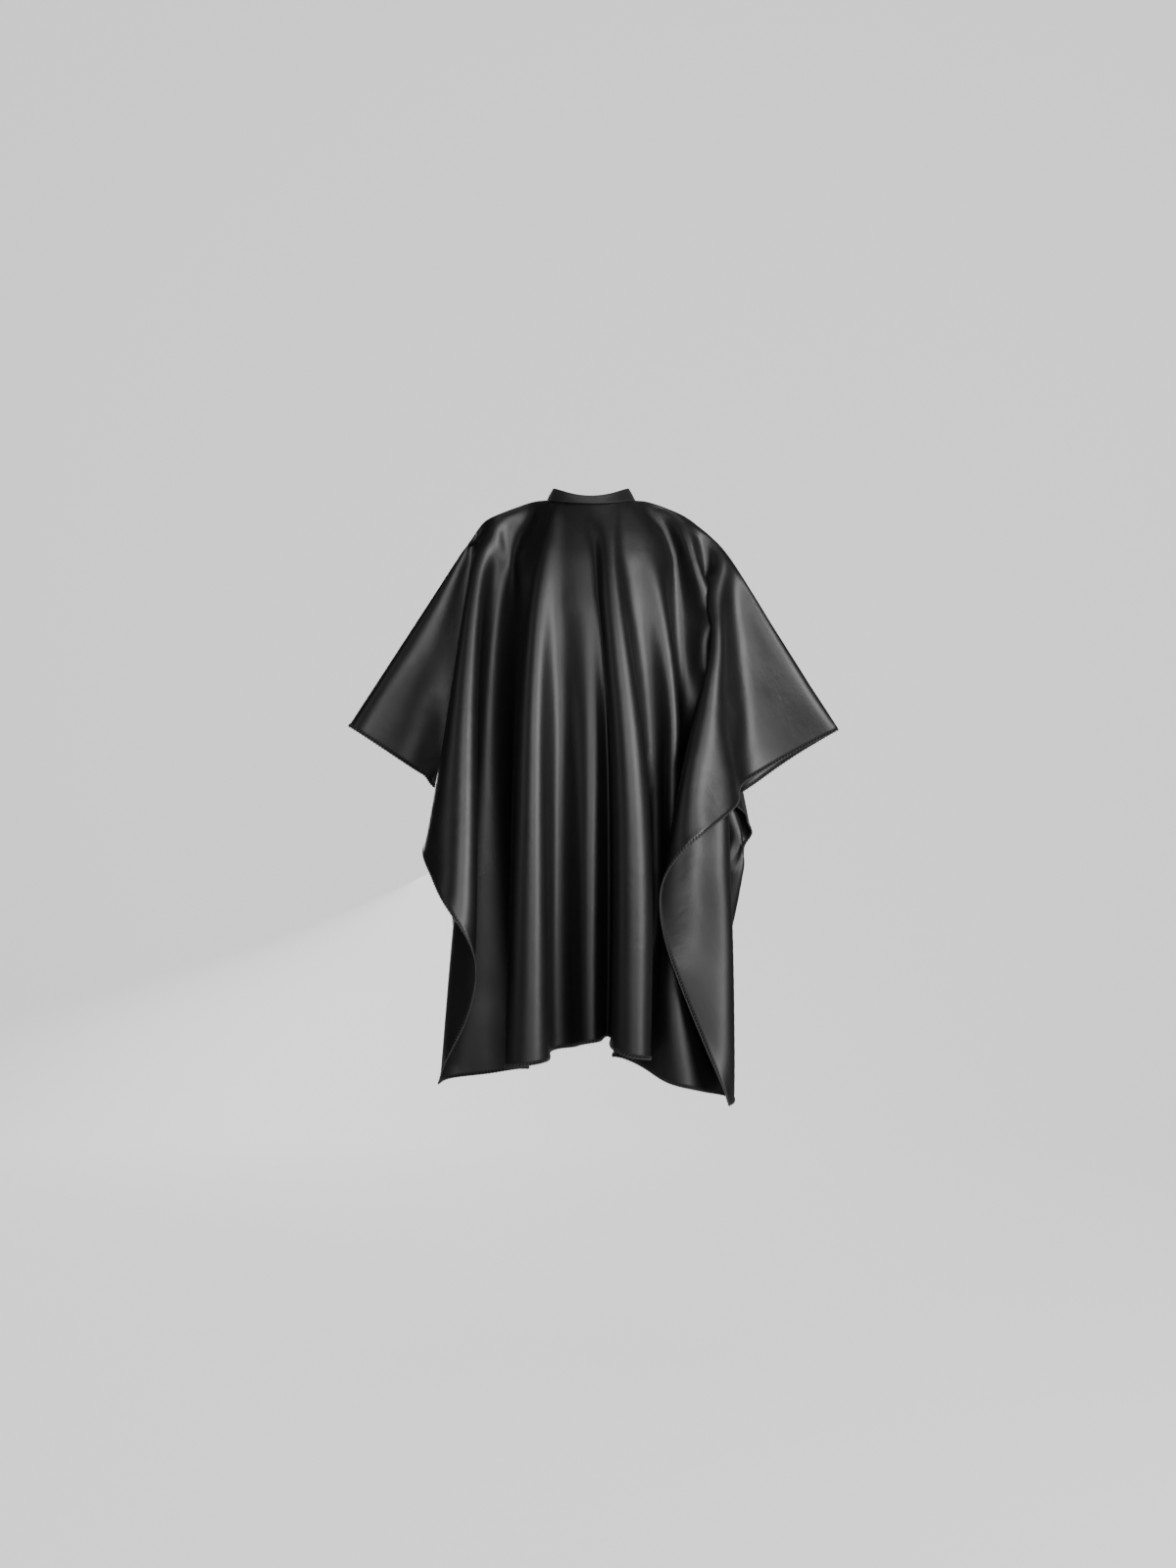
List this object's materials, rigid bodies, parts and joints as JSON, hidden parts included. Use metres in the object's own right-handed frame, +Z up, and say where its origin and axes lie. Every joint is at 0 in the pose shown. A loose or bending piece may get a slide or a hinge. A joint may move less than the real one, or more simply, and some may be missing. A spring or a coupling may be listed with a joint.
{
  "type": "barber cape",
  "caption": "Black hairdressing cape, one sheet of light satin cloth hung in folds from a stiffened neck band that closes with snaps at the back.",
  "frame": {"origin": "centre of the neck ring, level with the band's two highest points over the shoulders", "axes": "+Z up, the wearer faces -Y, +X to the right seen from the front"},
  "size_m": [0.8168, 0.3325, 1.0031],
  "materials": {
    "cape_cloth": "black polyester satin, crisp, with a soft sheen and a fine weave",
    "edge_thread": "black overlock stitching round every cut edge",
    "band_cloth": "the same satin, folded over a stiffener and topstitched",
    "interlining": "stiff off-white woven interlining, hidden inside the band",
    "snap_metal": "nickel-plated pressed steel",
    "care_label": "blank white woven tape, sewn in at the back of the neck"
  },
  "bodies": {
    "cape": {"cape_front": "cape_cloth", "cape_front_left": "cape_cloth", "cape_front_right": "cape_cloth", "cape_back_left": "cape_cloth", "cape_back_right": "cape_cloth", "sleeve_front_left": "cape_cloth", "sleeve_front_right": "cape_cloth", "sleeve_back_left": "cape_cloth", "sleeve_back_right": "cape_cloth", "cape_front_thread": "edge_thread", "cape_front_left_thread": "edge_thread", "cape_front_right_thread": "edge_thread", "cape_back_left_thread": "edge_thread", "cape_back_right_thread": "edge_thread", "sleeve_front_left_thread": "edge_thread", "sleeve_front_right_thread": "edge_thread", "sleeve_back_left_thread": "edge_thread", "sleeve_back_right_thread": "edge_thread", "neck_band": "band_cloth", "neck_band_lining": "band_cloth", "neck_band_interlining": "interlining", "snap_stud_1": "snap_metal", "snap_stud_2": "snap_metal", "snap_stud_3": "snap_metal", "snap_stud_4": "snap_metal", "snap_stud_5": "snap_metal", "snap_stud_6": "snap_metal", "snap_post_1": "snap_metal", "snap_post_2": "snap_metal", "snap_post_3": "snap_metal", "snap_post_4": "snap_metal", "snap_post_5": "snap_metal", "snap_post_6": "snap_metal", "care_label": "care_label"},
    "tab": {"closure_tab": "band_cloth", "closure_tab_lining": "band_cloth", "closure_tab_interlining": "interlining", "snap_socket_1": "snap_metal", "snap_socket_2": "snap_metal", "snap_cap_1": "snap_metal", "snap_cap_2": "snap_metal"}
  },
  "joints": [
    {"name": "closure_tab_hinge", "type": "hinge", "parent": "cape", "child": "tab", "pos_m": [0.00203, 0.06558, -0.02049], "axis": [0.014, 0.3558, -0.9344], "range_deg": [0, 100]}
  ]
}
